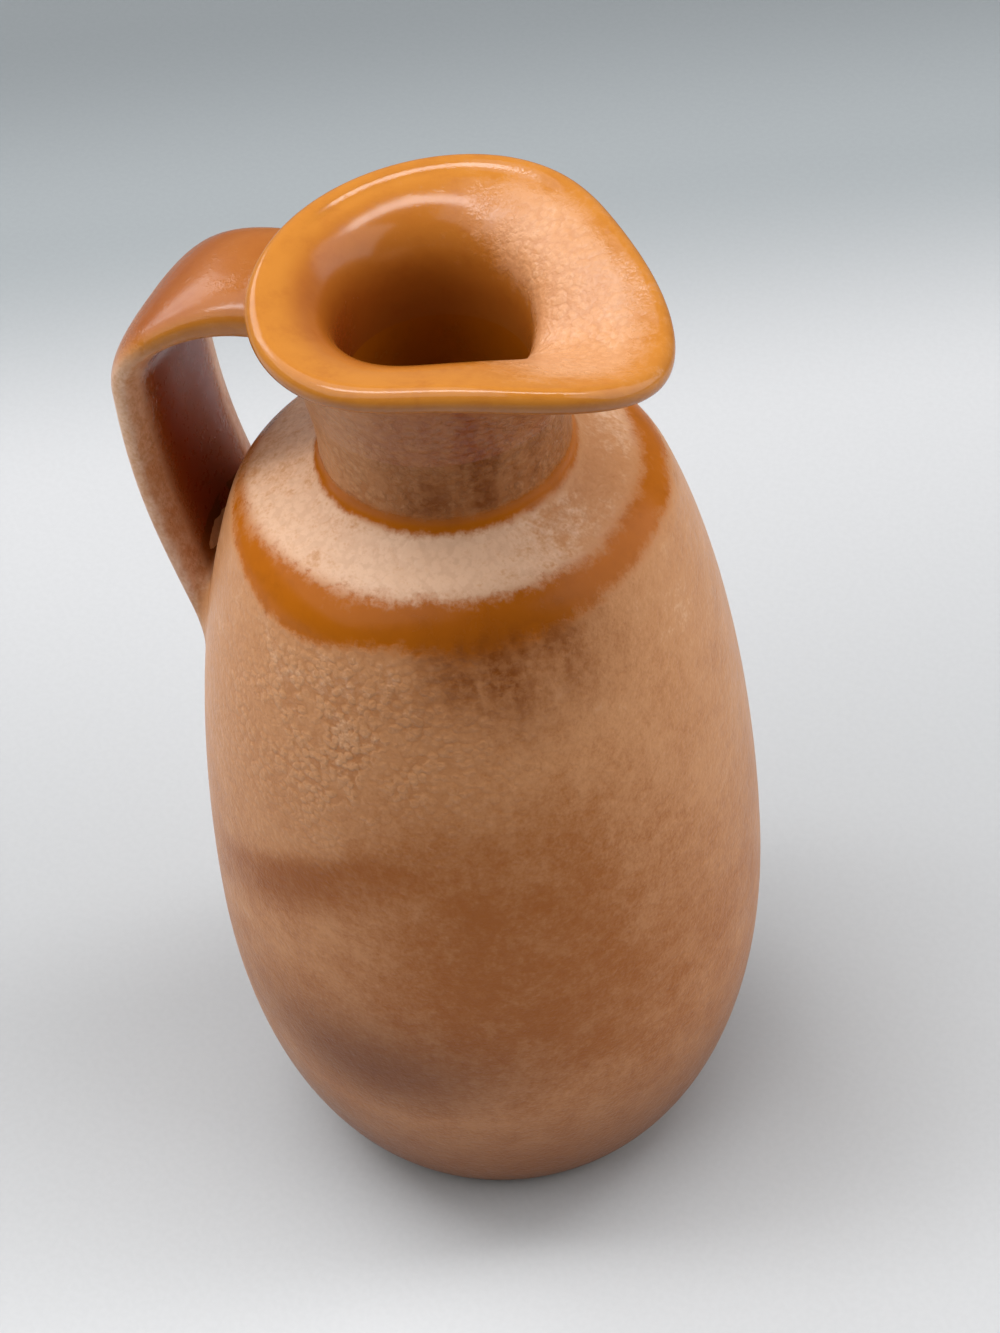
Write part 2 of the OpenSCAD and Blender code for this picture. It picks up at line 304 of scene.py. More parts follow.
# %% Sizes of the pot's side
foot_r = 30 * MM
belly_z = 50 * MM
wall_t = 4.5 * MM
floor_t = 6.5 * MM
foot_ring_w = 7 * MM
foot_hollow_d = 1.5 * MM
foot_edge = 1.2 * MM
ridge = np.array((31, 128)) * MM
ridge_lean = math.radians(23)
ridge_round = 4.5 * MM
ridge_run = 6.5 * MM
neck_r = 18 * MM
neck_wall_t = 4.8 * MM
throat_r = neck_r - neck_wall_t
neck_fillet = 3 * MM
neck_corner = np.array((neck_r, neck_joint_z - neck_fillet))

shoulder_line = neck_corner - ridge
shoulder_dir = shoulder_line / np.linalg.norm(shoulder_line)
shoulder_normal = np.array((shoulder_dir[1], -shoulder_dir[0]))
shoulder_tilt = math.atan2(shoulder_dir[1], -shoulder_dir[0])
wall_normal = np.array((math.cos(ridge_lean), math.sin(ridge_lean)))
print("ridge at", ridge.round(4), "and shoulder tilted", round(math.degrees(shoulder_tilt), 1), "degrees")

# %% Outer and inner side of the belly
LOW_SHARES = (0.45, 0.13, 0.55)
HIGH_SHARES = (0.33, 0.28)
OUTER_COUNTS = (60, 90, 28)
INNER_COUNTS = (16, 20, 8)
NECK_CORNER_COUNT = 24


def low_wall(foot, widest, count):
    foot, widest = np.array(foot), np.array(widest)
    rise = widest[1] - foot[1]
    out = foot + (LOW_SHARES[0] * (widest[0] - foot[0]), LOW_SHARES[1] * rise)
    under = widest - (0, LOW_SHARES[2] * rise)
    return cubic(foot, out, under, widest, steps(count))


def high_wall(widest, corner, soft, count, corner_count):
    """From the widest place up to the ridge and over it. The wall stops short of the turn."""
    widest, corner = np.array(widest), np.array(corner)
    rise = corner[1] - widest[1]
    over = widest + (0, HIGH_SHARES[0] * rise)
    under = corner + HIGH_SHARES[1] * rise * np.array((math.sin(ridge_lean), -math.cos(ridge_lean)))
    stop = 1 - soft / (3 * HIGH_SHARES[1] * rise)
    wall = cubic(widest, over, under, corner, stop * steps(count))
    turn_over = corner_curve(wall[-1], corner, corner + soft * shoulder_dir, steps(corner_count))
    return np.concatenate([wall[1:], turn_over[1:]])


def belly_side(foot, widest, corner, soft, counts):
    low_count, high_count, corner_count = counts
    return np.concatenate([
        low_wall(foot, widest, low_count),
        high_wall(widest, corner, soft, high_count, corner_count),
    ])


belly_joint = ridge + ridge_run * shoulder_dir
inner_ridge = ridge - wall_t / (1 + wall_normal @ shoulder_normal) * (wall_normal + shoulder_normal)
inner_round = ridge_round - wall_t * math.tan((math.pi / 2 - ridge_lean - shoulder_tilt) / 2)
inner_foot = (foot_r - wall_t, floor_t)
inner_widest = (belly_r - wall_t, belly_z)
belly_outer = belly_side((foot_r, 0), (belly_r, belly_z), ridge, ridge_round, OUTER_COUNTS)
belly_inner = belly_side(inner_foot, inner_widest, inner_ridge, inner_round, INNER_COUNTS)

corner_start = neck_corner - neck_fillet * shoulder_dir
corner_end = neck_corner + (0, neck_fillet)
neck_corner_curve = corner_curve(corner_start, neck_corner, corner_end, steps(NECK_CORNER_COUNT))
print("outer side has", len(belly_outer), "points and inner side", len(belly_inner))

# %% [markdown]
# ## From outline to mesh
# Every piece here is a net of points: rows along the piece and columns round it. Modifiers could spin and
# sweep the outlines, but a net that the script makes itself can carry values as well. One helper turns a
# net into a closed mesh and stores named values on its points. They say how thin the glaze lies, how
# strongly it pitted and where it ran dark. A material reads them by name, so the same glaze can flow from
# one piece to the next without a seam.

# %% A helper that turns a net of points into a mesh
ROUND = 288
SHARP_ANGLE = math.radians(48)
angles = np.linspace(0, 2 * math.pi, ROUND, endpoint=False)


def net_faces(rows, columns, loop):
    """Quads between neighbouring rows. With loop, the last row joins the first, else both ends are capped."""
    row = np.arange(rows if loop else rows - 1)[:, None]
    column = np.arange(columns)[None, :]
    after = (row + 1) % rows
    beside = (column + 1) % columns
    quads = np.stack(np.broadcast_arrays(
        row * columns + column, row * columns + beside, after * columns + beside, after * columns + column
    ), -1).reshape(-1, 4)
    faces = quads.tolist()
    if not loop:
        faces.append(list(range(columns))[::-1])
        faces.append(list(range((rows - 1) * columns, rows * columns)))
    return faces


def skin(name, net, marks, loop=False):
    """Builds a mesh from rows of points and stores the glaze's marks on it."""
    rows, columns, _ = net.shape
    mesh = bpy.data.meshes.new(name)
    mesh.from_pydata(net.reshape(-1, 3).tolist(), [], net_faces(rows, columns, loop))
    for label, values in marks.items():
        layer = mesh.attributes.new(label, "FLOAT", "POINT")
        layer.data.foreach_set("value", np.ascontiguousarray(values, dtype=np.float32).reshape(-1))
    work = bmesh.new()
    work.from_mesh(mesh)
    bmesh.ops.recalc_face_normals(work, faces=work.faces)
    work.to_mesh(mesh)
    work.free()
    mesh.shade_smooth()
    mesh.set_sharp_from_angle(angle=SHARP_ANGLE)
    piece = bpy.data.objects.new(name, mesh)
    scene.collection.objects.link(piece)
    print(name, "has", len(mesh.vertices), "points and", len(mesh.polygons), "faces")
    return piece


def round_net(radius, height):
    """Points round the axis, from radii and heights with one row for each ring."""
    return np.stack([radius * np.cos(angles), radius * np.sin(angles), height], -1)


def spin(outline):
    """Spins radius and height pairs about the axis into a net of points."""
    heights = np.broadcast_to(outline[:, 1][:, None], (len(outline), ROUND))
    return round_net(outline[:, 0][:, None], heights)


print("a spun outline has", ROUND, "columns")

# %% [markdown]
# ## How the glaze lies on the pot
# The glaze is thick and satin where it could pool, and thin, glossy and amber where it drew away from an
# edge: on the ridge, at the foot of the neck, round the lip and on the handle. It ran dark in short streaks
# below the ridge and pitted like orange peel on one side of the belly. A second dip ended in a slanted
# line on the belly. Light and shade are painted in as well: painted shade low on the belly, on the ridge
# band's front, on the neck, in the lip, inside the pot and on the strap's inner face, a painted sheen on
# the shoulder, and one painted dark reflection low on the belly's front. Noise could be tried until it
# happens to fall right, but a soft rule of place for each of these is easier to steer.

# %% Soft steps and soft patches
def smooth(low, high, value):
    share = np.clip((value - low) / (high - low), 0, 1)
    return share * share * (3 - 2 * share)


def side(angle, half):
    """A side of the pot, given in degrees as an angle from the spout and a half width."""
    return math.radians(angle), math.radians(half)


def bearing_from(angle, net):
    """The turn about the axis from an angle to each point, from minus half a turn to half a turn."""
    bearing = np.arctan2(net[..., 1], net[..., 0])
    return (bearing - angle + math.pi) % (2 * math.pi) - math.pi


def patch_at(angle, half, net):
    """A soft patch on one side of the pot: 1 in its middle, fading out over its half width."""
    return np.exp(-(bearing_from(angle, net) / half) ** 2)


def hump(value, middle, half):
    return np.exp(-((value - middle) / half) ** 2)


FRONT = side(-60, 34)
SPOUT_WALL = side(0, 34)
SPOUT_SHOULDER = side(4, 38)
print("the front lies", round(math.degrees(FRONT[0])), "degrees from the spout")

# %% Where the glaze is thin
RUN_SIDE = side(-112, 24)
NARROW_SIDE = side(-165, 40)
STREAK_SIDE = side(-55, 24)
RUN_D = 3.6 * MM
BAND_TOP = -0.2 * MM
BAND_END = 4.2 * MM
BAND_END_IN_STREAKS = 5.0 * MM
BAND_REACH = 16 * MM
BAND_FADE_R = ridge[0] - 6.9 * MM
BAND_FULL_R = ridge[0] - 0.7 * MM
BAND_NARROWER = 2.4 * MM
CORNER_LINE = neck_corner + np.array((0.4, 1.4)) * MM
CORNER_LINE_HALF = 1.8 * MM


def ridge_band(net):
    """The amber band over the ridge: it ran down on one side and is narrow towards the handle."""
    radius = np.hypot(net[..., 0], net[..., 1])
    below = ridge[1] - net[..., 2]
    end = BAND_END + BAND_END_IN_STREAKS * patch_at(*STREAK_SIDE, net)
    on_wall = 1 - smooth(BAND_TOP, end, below - RUN_D * patch_at(*RUN_SIDE, net))
    on_shoulder = smooth(BAND_FADE_R, BAND_FULL_R, radius - BAND_NARROWER * patch_at(*NARROW_SIDE, net))
    return np.where(below < BAND_REACH, on_wall * on_shoulder, 0)


def corner_line(net):
    """The amber line in the hollow corner at the foot of the neck."""
    radius = np.hypot(net[..., 0], net[..., 1])
    return hump(np.hypot(radius - CORNER_LINE[0], net[..., 2] - CORNER_LINE[1]), 0, CORNER_LINE_HALF)


print("the amber band reaches", round((ridge[0] - BAND_FADE_R) / MM, 1), "mm onto the shoulder")

# %% Where the glaze ran in streaks, and the neck's painted shade
STREAK_LEVEL = 1.12
STREAK_IN = (-1 * MM, 4 * MM)
STREAK_OUT = (5 * MM, 25 * MM)
NECK_STREAK = 0.12
# On the neck's front the dark is partly the lip's painted shadow; under the spout it is painted shade.
NECK_FRONT_STREAK_AND_SHADE = 0.86
NECK_SPOUT_SHADE = 0.44
NECK_START = (neck_corner[1] + 1 * MM, neck_corner[1] + 4 * MM)


def on_neck(net):
    return smooth(*NECK_START, net[..., 2])


def neck_streak_and_shade(net):
    """How dark the neck is, most of all on its front and under the spout: partly its glaze, partly the lip's
    painted shadow on the front and painted shade under the spout.
    """
    in_front = NECK_FRONT_STREAK_AND_SHADE * patch_at(*FRONT, net)
    return NECK_STREAK + in_front + NECK_SPOUT_SHADE * patch_at(*SPOUT_WALL, net)


def streaks(net):
    below = ridge[1] - net[..., 2]
    run = smooth(*STREAK_IN, below) * (1 - smooth(*STREAK_OUT, below))
    under_ridge = STREAK_LEVEL * run * patch_at(*STREAK_SIDE, net)
    return np.maximum(under_ridge, neck_streak_and_shade(net) * on_neck(net))


print("streaks fade out", round(STREAK_OUT[1] / MM), "mm below the ridge")

# %% Where the pot is dark: painted shade, a painted dark reflection and the dip line
# A painted dark reflection: a dark patch low on the belly's front, where the satin glaze mirrors the dim
# room.
DARK_REFLECTION_SIDE = side(-94, 30)
DARK_REFLECTION_Z = 42 * MM
DARK_REFLECTION_HALF = 12 * MM
DARK_REFLECTION_STRENGTH = 0.74
DIP_SIDE = side(-110, 24)
DIP_Z = 82 * MM
DIP_SLOPE = 22 * MM
DIP_EDGE = 3 * MM
DIP_FADE = (14 * MM, 5 * MM)
DIP_SHADE = 0.20
# Painted shade: the pot darkens towards its foot.
LOW_SHADE_FADE = (5 * MM, 45 * MM)
LOW_SHADE = 0.68
# Painted shade darkens the amber band over the ridge on the pot's front.
RIDGE_FRONT_PAINTED_SHADE = 0.46


def dip_band(net):
    """The band under the slanted line where a second dip ended."""
    height = net[..., 2]
    line_z = DIP_Z + DIP_SLOPE * bearing_from(DIP_SIDE[0], net)
    under_line = 1 - smooth(line_z - DIP_EDGE, line_z + DIP_EDGE, height)
    return under_line * smooth(line_z - DIP_FADE[0], line_z - DIP_FADE[1], height) * patch_at(*DIP_SIDE, net)


def shades(net):
    # Painted dark reflection low on the belly's front.
    painted_dark_reflection = patch_at(*DARK_REFLECTION_SIDE, net) * hump(net[..., 2], DARK_REFLECTION_Z, DARK_REFLECTION_HALF)
    # Painted shade towards the foot.
    foot = 1 - smooth(*LOW_SHADE_FADE, net[..., 2])
    # Painted shade on the front of the ridge band.
    shaded_ridge_front = ridge_band(net) * patch_at(*FRONT, net)
    return np.maximum.reduce([
        DARK_REFLECTION_STRENGTH * painted_dark_reflection, DIP_SHADE * dip_band(net), LOW_SHADE * foot, RIDGE_FRONT_PAINTED_SHADE * shaded_ridge_front
    ])


print("smoke mark at", round(DARK_REFLECTION_Z / MM), "mm, dip line at", round(DIP_Z / MM), "mm")

# %% Where crystals and pits grew, with painted shade and a painted sheen
PEEL_SIDE = side(-94, 32)
PEEL_Z = 107 * MM
PEEL_HALF = 18 * MM
PEEL_START = 5 * MM
PEEL_LEAST = 0.12
PEEL_MORE = 0.78
NECK_PEEL = 0.8
SHOULDER_PEEL = 0.22
BELLY_END = (ridge[1] - 4 * MM, ridge[1] + 2 * MM)
FRONT_Z = 78 * MM
FRONT_HALF_Z = 34 * MM
LOW_FADE = (45 * MM, 112 * MM)
BELLY_LESS = 0.22
# On the belly's front, less paleness is partly the glaze and partly painted shade, for the dim room that the
# satin front mirrors.
FRONT_LESS = 0.48
# Low down the belly is less pale: painted shade towards the foot.
LOW_SHADE_LESS = 0.30
DIP_LESS = 0.50
PEEL_PALER = 0.12
# The shoulder's extra paleness is partly its crystals and partly a painted sheen; on its front it is a
# painted sheen.
SHOULDER_CRYSTALS_AND_SHEEN = 0.16
SHOULDER_FRONT_SHEEN = 0.17
SPOUT_LESS = 0.30
NECK_LESS = 0.35
# On the neck's front, less paleness is partly the lip's painted shadow.
NECK_FRONT_LESS = 0.30
PALEST = 1.3


def on_belly(net):
    return 1 - smooth(*BELLY_END, net[..., 2])


def peel_patch(net):
    return hump(net[..., 2], PEEL_Z, PEEL_HALF) * patch_at(*PEEL_SIDE, net)


def peels(net):
    below_ridge = smooth(0, PEEL_START, ridge[1] - net[..., 2])
    on_wall = PEEL_LEAST + PEEL_MORE * peel_patch(net) * below_ridge
    return np.maximum.reduce([on_wall, NECK_PEEL * on_neck(net), SHOULDER_PEEL * (1 - on_belly(net))])


def crystals(net):
    """How thickly pale crystals grew: least on the belly's front, most on the shoulder. Less paleness on the
    belly's front and low down is partly painted shade, more on the shoulder partly a painted sheen.
    """
    height = net[..., 2]
    front = patch_at(*FRONT, net)
    deep = front * hump(height, FRONT_Z, FRONT_HALF_Z)
    low = 1 - smooth(*LOW_FADE, height)
    belly_less = on_belly(net) * (BELLY_LESS + FRONT_LESS * deep + LOW_SHADE_LESS * low)
    paler_with_sheen = SHOULDER_CRYSTALS_AND_SHEEN + SHOULDER_FRONT_SHEEN * front - SPOUT_LESS * patch_at(*SPOUT_SHOULDER, net)
    neck_less = on_neck(net) * (NECK_LESS + NECK_FRONT_LESS * front)
    pale = 1.0 - belly_less - DIP_LESS * dip_band(net) + PEEL_PALER * peel_patch(net)
    return np.clip(pale + paler_with_sheen * (1 - on_belly(net)) - neck_less, 0, PALEST)


print("orange peel at", round(PEEL_Z / MM), "mm, half height", round(PEEL_HALF / MM), "mm")

# %% All the rules together
# The lining inside the pot is amber glaze darkened with painted shade.
LINING = {"thin": 1.0, "streak": 0.0, "shade": 0.34, "peel": 0.1, "pale": 0.0}


def glaze_on_pot(net, lining_rows=0):
    """How the glaze lies on belly, shoulder and neck. The last rows may be the lining inside the pot,
    darkened with painted shade.
    """
    marks = {
        "thin": np.maximum(ridge_band(net), corner_line(net)),
        "streak": streaks(net),
        "shade": shades(net),
        "peel": peels(net),
        "pale": crystals(net),
    }
    if lining_rows:
        for label, value in LINING.items():
            marks[label][-lining_rows:] = value
    return marks


print("the glaze has", len(LINING), "rules:", ", ".join(LINING))

# %% [markdown]
# ## The glaze itself
# Two materials share the same glaze, a tan one on the pot and an amber one on lip and handle. What they
# share is a node group: it mixes amber, brown, tan, cream crystals and dark streaks, and gives out a
# colour, a roughness and a height for the bump. One big texture could do it all, but grains of several
# sizes can be steered one by one. The grains break up every border, because they are added to the thin
# value before it is cut off. That is how a real border of crystals grows.

# %% The glaze group: its sockets and its grains
GLAZE_MARKS = ("Thin", "Pale", "Streak", "Shade", "Peel")
GLAZE_TONES = ("Amber", "Brown", "Tan", "Cream", "Dark")
GLAZE_RESULTS = {"Color": "NodeSocketColor", "Roughness": "NodeSocketFloat", "Height": "NodeSocketFloat"}
# Each grain is a noise: waves per metre, detail and roughness.
GRAINS = {
    "cloud": (30.0, 4.0, 0.5),
    "swell": (70.0, 2.0, 0.5),
    "patch": (160.0, 5.0, 0.6),
    "crystal": (620.0, 4.0, 0.65),
    "speck": (1900.0, 2.0, 0.5),
}

GLAZE = bpy.data.node_groups.new("crystalline_glaze", "ShaderNodeTree")
for name in GLAZE_MARKS + ("Matt",):
    GLAZE.interface.new_socket(name=name, in_out="INPUT", socket_type="NodeSocketFloat")
for name in GLAZE_TONES:
    GLAZE.interface.new_socket(name=name, in_out="INPUT", socket_type="NodeSocketColor")
for name, kind in GLAZE_RESULTS.items():
    GLAZE.interface.new_socket(name=name, in_out="OUTPUT", socket_type=kind)
given = GLAZE.nodes.new("NodeGroupInput").outputs
glaze_results = GLAZE.nodes.new("NodeGroupOutput").inputs
on_piece = add(GLAZE, "ShaderNodeTexCoord").outputs["Object"]
grain = {name: noise(GLAZE, on_piece, *sizes) for name, sizes in GRAINS.items()}


def times(first, second):
    return calc(GLAZE, "MULTIPLY", first, second)


def less(first, second):
    return calc(GLAZE, "SUBTRACT", first, second)


def plus(first, second):
    return calc(GLAZE, "ADD", first, second)


def broken_up(value, gains):
    """Adds grains to a value, each brought to about zero and scaled, so that they push it both ways."""
    for name, gain in gains.items():
        value = plus(value, times(less(grain[name], 0.5), gain))
    return value


print("glaze group takes", len(GLAZE_MARKS + GLAZE_TONES) + 1, "values and has", len(GRAINS), "grains")

# %% The glaze group: thick and thin glaze
BORDER_GAINS = {"patch": 0.85, "crystal": 0.75, "speck": 0.35, "cloud": 0.4}
GROWTH_GAINS = {"crystal": 0.7, "patch": 0.7, "cloud": 0.45, "speck": 0.35}
# Spans for the soft ramps: where each starts and ends, and what it gives there, if not 0 and 1.
THIN_SPAN = (0.2, 0.85)
TAN_SPAN = (0.0, 0.95)
CREAM_SPAN = (0.85, 1.25)
PIT_SCALE = 800.0
PIT_GAINS = {"crystal": 2.0}
PEBBLE_SPAN = (0.15, 0.80, 1.0, 0.0)
PIT_SPAN = (0.42, 0.78)
PIT_TONE = 0.64
PEEL_PATCHES = (0.35, 0.55, 0.3, 1.0)
FRECKLE_PATCHES = (0.35, 0.75)
FRECKLE_CRYSTALS = (0.35, 0.65, 0.3, 1.0)
FRECKLE_TONE = 0.22

thin = ramp(GLAZE, broken_up(given["Thin"], BORDER_GAINS), *THIN_SPAN)
grown = broken_up(given["Pale"], GROWTH_GAINS)
thick_tone = mix(GLAZE, ramp(GLAZE, grown, *TAN_SPAN), given["Brown"], given["Tan"])
thick_tone = mix(GLAZE, ramp(GLAZE, grown, *CREAM_SPAN), thick_tone, given["Cream"])

cells = add(GLAZE, "ShaderNodeTexVoronoi", {"Vector": on_piece, "Scale": PIT_SCALE, "Randomness": 1.0})
ragged = broken_up(cells.outputs["Distance"], PIT_GAINS)
pebbles = ramp(GLAZE, ragged, *PEBBLE_SPAN)
peel = times(given["Peel"], ramp(GLAZE, grain["patch"], *PEEL_PATCHES))
pits = times(ramp(GLAZE, ragged, *PIT_SPAN), peel)
thick_tone = mix(GLAZE, times(pits, PIT_TONE), thick_tone, given["Brown"])

freckle_patches = ramp(GLAZE, grain["patch"], *FRECKLE_PATCHES)
freckles = times(freckle_patches, ramp(GLAZE, grain["crystal"], *FRECKLE_CRYSTALS))
thin_tone = mix(GLAZE, times(freckles, FRECKLE_TONE), given["Amber"], given["Dark"])
glaze_tone = mix(GLAZE, thin, thick_tone, thin_tone)
print("thick and thin glaze take", len(GLAZE.nodes), "nodes so far")

# %% The glaze group: streaks and painted shade
DRIP_GRAIN = (260.0, 3.0, 0.5)
DRIP_STRETCH = (1.0, 1.0, 0.12)
DRIP_SPAN = (0.36, 0.62, 0.6, 1.0)
DRIP_CRYSTALS = (0.36, 0.66, 1.1, 0.72)
STREAK_DARKNESS = 0.6

upright = add(GLAZE, "ShaderNodeMapping", {"Vector": on_piece, "Scale": DRIP_STRETCH}).outputs["Vector"]
drips = ramp(GLAZE, noise(GLAZE, upright, *DRIP_GRAIN), *DRIP_SPAN)
drips = times(drips, ramp(GLAZE, grain["crystal"], *DRIP_CRYSTALS))
streaked = times(given["Streak"], drips)
streak_tone = mix(GLAZE, STREAK_DARKNESS, given["Brown"], given["Dark"])
glaze_tone = mix(GLAZE, streaked, glaze_tone, streak_tone)
# The Shade mark paints shade: it mixes the colour towards the dark tone.
fill(GLAZE, glaze_results["Color"], mix(GLAZE, given["Shade"], glaze_tone, given["Dark"]))
print("with streaks and shade there are", len(GLAZE.nodes), "nodes")

# %% The glaze group: shine and height
SATIN_SPAN = (0.3, 0.7, 0.28, 0.38)
GLOSS_SPAN = (0.3, 0.7, 0.10, 0.17)
DARK_DULLS = 0.9
THIN_CALMS = 0.9
PEBBLE_HEIGHT = 0.5
CRYSTAL_HEIGHT = 0.5
SPECK_HEIGHT = 0.18
SWELL_HEIGHT = 0.5

satin = ramp(GLAZE, grain["crystal"], *SATIN_SPAN)
gloss = plus(ramp(GLAZE, grain["patch"], *GLOSS_SPAN), given["Matt"])
dark = calc(GLAZE, "MAXIMUM", streaked, given["Shade"])
shine = times(thin, less(1.0, times(dark, DARK_DULLS)))
fill(GLAZE, glaze_results["Roughness"], between(GLAZE, shine, satin, gloss))

rough = plus(times(pebbles, times(peel, PEBBLE_HEIGHT)), times(grain["crystal"], CRYSTAL_HEIGHT))
rough = plus(rough, times(grain["speck"], SPECK_HEIGHT))
calmed = times(rough, less(1.0, times(thin, THIN_CALMS)))
fill(GLAZE, glaze_results["Height"], plus(calmed, times(grain["swell"], SWELL_HEIGHT)))
print("the whole glaze group has", len(GLAZE.nodes), "nodes")

# %% The two glazes
GLAZE_BUMP = {"Strength": 0.8, "Distance": 0.6 * MM}


def glaze_material(name, tones, matt, bending):
    """One glaze: its five tones, how much rougher its gloss is, and how strongly it bends light."""
    material = bpy.data.materials.new(name)
    material.use_nodes = True
    tree = material.node_tree
    shader = tree.nodes["Principled BSDF"]
    glaze = add(tree, "ShaderNodeGroup", node_tree=GLAZE)
    for socket, tone in zip(GLAZE_TONES, tones):
        glaze.inputs[socket].default_value = tone
    glaze.inputs["Matt"].default_value = matt
    for socket in GLAZE_MARKS:
        stored = add(tree, "ShaderNodeAttribute", attribute_name=socket.lower(), attribute_type="GEOMETRY")
        fill(tree, glaze.inputs[socket], stored.outputs["Fac"])
    fill(tree, shader.inputs["Base Color"], glaze.outputs["Color"])
    fill(tree, shader.inputs["Roughness"], glaze.outputs["Roughness"])
    bump = add(tree, "ShaderNodeBump", {**GLAZE_BUMP, "Height": glaze.outputs["Height"]})
    fill(tree, shader.inputs["Normal"], bump.outputs["Normal"])
    shader.inputs["IOR"].default_value = bending
    return material


BROWN = colour(168, 95, 32)
CRYSTAL = colour(212, 152, 104)
CREAM = colour(242, 200, 166)
# The dark tone serves the streaks and the painted shade.
TAN_TONES = (colour(190, 104, 12), BROWN, CRYSTAL, CREAM, colour(100, 44, 4))
AMBER_TONES = (colour(196, 124, 44), BROWN, CRYSTAL, CREAM, colour(128, 38, 0))
TAN = glaze_material("tan_glaze", TAN_TONES, matt=0.08, bending=1.26)
AMBER = glaze_material("amber_glaze", AMBER_TONES, matt=-0.01, bending=1.46)
print("glazes:", TAN.name, AMBER.name)

# %% The bare clay of the foot
CLAY_BUMP = {"Strength": 0.5, "Distance": 0.3 * MM}
SAND_GRAIN = (900.0, 4.0, 0.7)
SAND_SPAN = (0.35, 0.7)


def clay_material():
    material = bpy.data.materials.new("bare_clay")
    material.use_nodes = True
    tree = material.node_tree
    shader = tree.nodes["Principled BSDF"]
    sand = noise(tree, add(tree, "ShaderNodeTexCoord").outputs["Object"], *SAND_GRAIN)
    tone = mix(tree, ramp(tree, sand, *SAND_SPAN), colour(186, 150, 118), colour(140, 98, 66))
    fill(tree, shader.inputs["Base Color"], tone)
    shader.inputs["Roughness"].default_value = 0.85
    bump = add(tree, "ShaderNodeBump", {**CLAY_BUMP, "Height": sand})
    fill(tree, shader.inputs["Normal"], bump.outputs["Normal"])
    return material


CLAY = clay_material()
print("clay:", CLAY.name)

# %% [markdown]
# ## The belly
# The belly is the thrown part that holds the drink, closed by its floor and turned hollow under the foot.
# It could be a solid with a cut inside, but one outline is simpler: it runs from the middle of the
# underside, round the foot, up the outside, over the ridge, and back down the inside. Spinning that one
# line gives a closed shell with a real wall.

# %% Spin the belly
AXIS_GAP = 0.05 * MM
FOOT_EDGE_ROW = 3
FOOT_EDGE_COUNT = 8
BARE_ABOVE = 0.1 * MM
BARE_DOWNWARD = -0.6
CLAY_SLOT = 1

ring_r = foot_r - foot_ring_w
foot_turn = corner_curve(
    (foot_r - foot_edge, 0), (foot_r, 0), belly_outer[FOOT_EDGE_ROW], steps(FOOT_EDGE_COUNT)
)
belly_outline = np.concatenate([
    [(AXIS_GAP, foot_hollow_d), (ring_r, foot_hollow_d), (ring_r, 0)],
    foot_turn,
    belly_outer[FOOT_EDGE_ROW + 1:],
    [belly_joint, belly_joint - wall_t * shoulder_normal],
    belly_inner[::-1],
    [(AXIS_GAP, floor_t)],
])
belly_net = spin(belly_outline)
belly = skin("belly_shell", belly_net, glaze_on_pot(belly_net, len(belly_inner) + 1))
belly.data.materials.append(TAN)
belly.data.materials.append(CLAY)
for face in belly.data.polygons:
    if face.center.z < foot_hollow_d + BARE_ABOVE and face.normal.z < BARE_DOWNWARD:
        face.material_index = CLAY_SLOT

# %% [markdown]
# ## The shoulder and the neck
# The shoulder ring runs up from the ridge and turns into the neck with a small hollow corner, where the
# glaze is thin again. The neck opens a little towards the lip. A plain cone would crease at both ends, but
# a square law gives that opening an upright start and a slanted end, so the lip can carry on from it.

# %% Spin the shoulder and the neck
SHOULDER_COUNT = 14
NECK_COUNT = 30
SHOULDER_LINING_ROWS = 3
NECK_LINING_ROWS = 2

inner_rise = neck_wall_t * math.tan(shoulder_tilt)
inner_neck_z = neck_corner[1] + inner_rise - wall_t / math.cos(shoulder_tilt)
shoulder_outline = np.concatenate([
    belly_joint + np.outer(steps(SHOULDER_COUNT), corner_start - belly_joint),
    neck_corner_curve[1:],
    [(throat_r, neck_joint_z), (throat_r, inner_neck_z), belly_joint - wall_t * shoulder_normal],
])
shoulder_net = spin(shoulder_outline)
shoulder = skin("shoulder_ring", shoulder_net, glaze_on_pot(shoulder_net, SHOULDER_LINING_ROWS), loop=True)
shoulder.data.materials.append(TAN)

neck_h = lip_joint_z - neck_joint_z
neck_flare = neck_top_r - neck_r
climb = steps(NECK_COUNT)
neck_outer = np.stack([neck_r + neck_flare * climb ** 2, neck_joint_z + neck_h * climb], -1)
neck_outline = np.concatenate([neck_outer, [(throat_r, lip_joint_z), (throat_r, neck_joint_z)]])
neck_net = spin(neck_outline)
neck = skin("neck_collar", neck_net, glaze_on_pot(neck_net, NECK_LINING_ROWS), loop=True)
neck.data.materials.append(TAN)

# %% [markdown]
# ## The pouring lip
# The lip is the piece that asks most of the maker. It flares like a trumpet, ends in a rolled bead, is
# drawn out to a spout on one side and pinched beside it. A lathe can't make that, so each section round the
# axis gets its own rim point from a formula: a round set off its centre, a pull towards the spout, two
# pinches, a dip at the spout and a lift where the near pinch pushed the clay up. Inside the far bead runs a
# very shallow groove, as a finger leaves it. It is deepest towards its two ends, so that all of it catches
# the long lamp.

# %% The line of the rim
lip_r = neck_top_r + 8.1 * MM
lip_z = lip_joint_z + 16 * MM
lip_shift = 4.4 * MM
spout_reach = 7.8 * MM
spout_dip = 5.0 * MM
spout_turn = math.radians(-3)
# Each swelling has a size, an angle from the spout and a half width.
NEAR_PINCH = (6.8 * MM, *side(-58, 36))
FAR_PINCH = (10.0 * MM, *side(32, 41))
NEAR_LIFT = (2.0 * MM, *side(-40, 52))
SPOUT_POWER = 6
DIP_POWER = 40


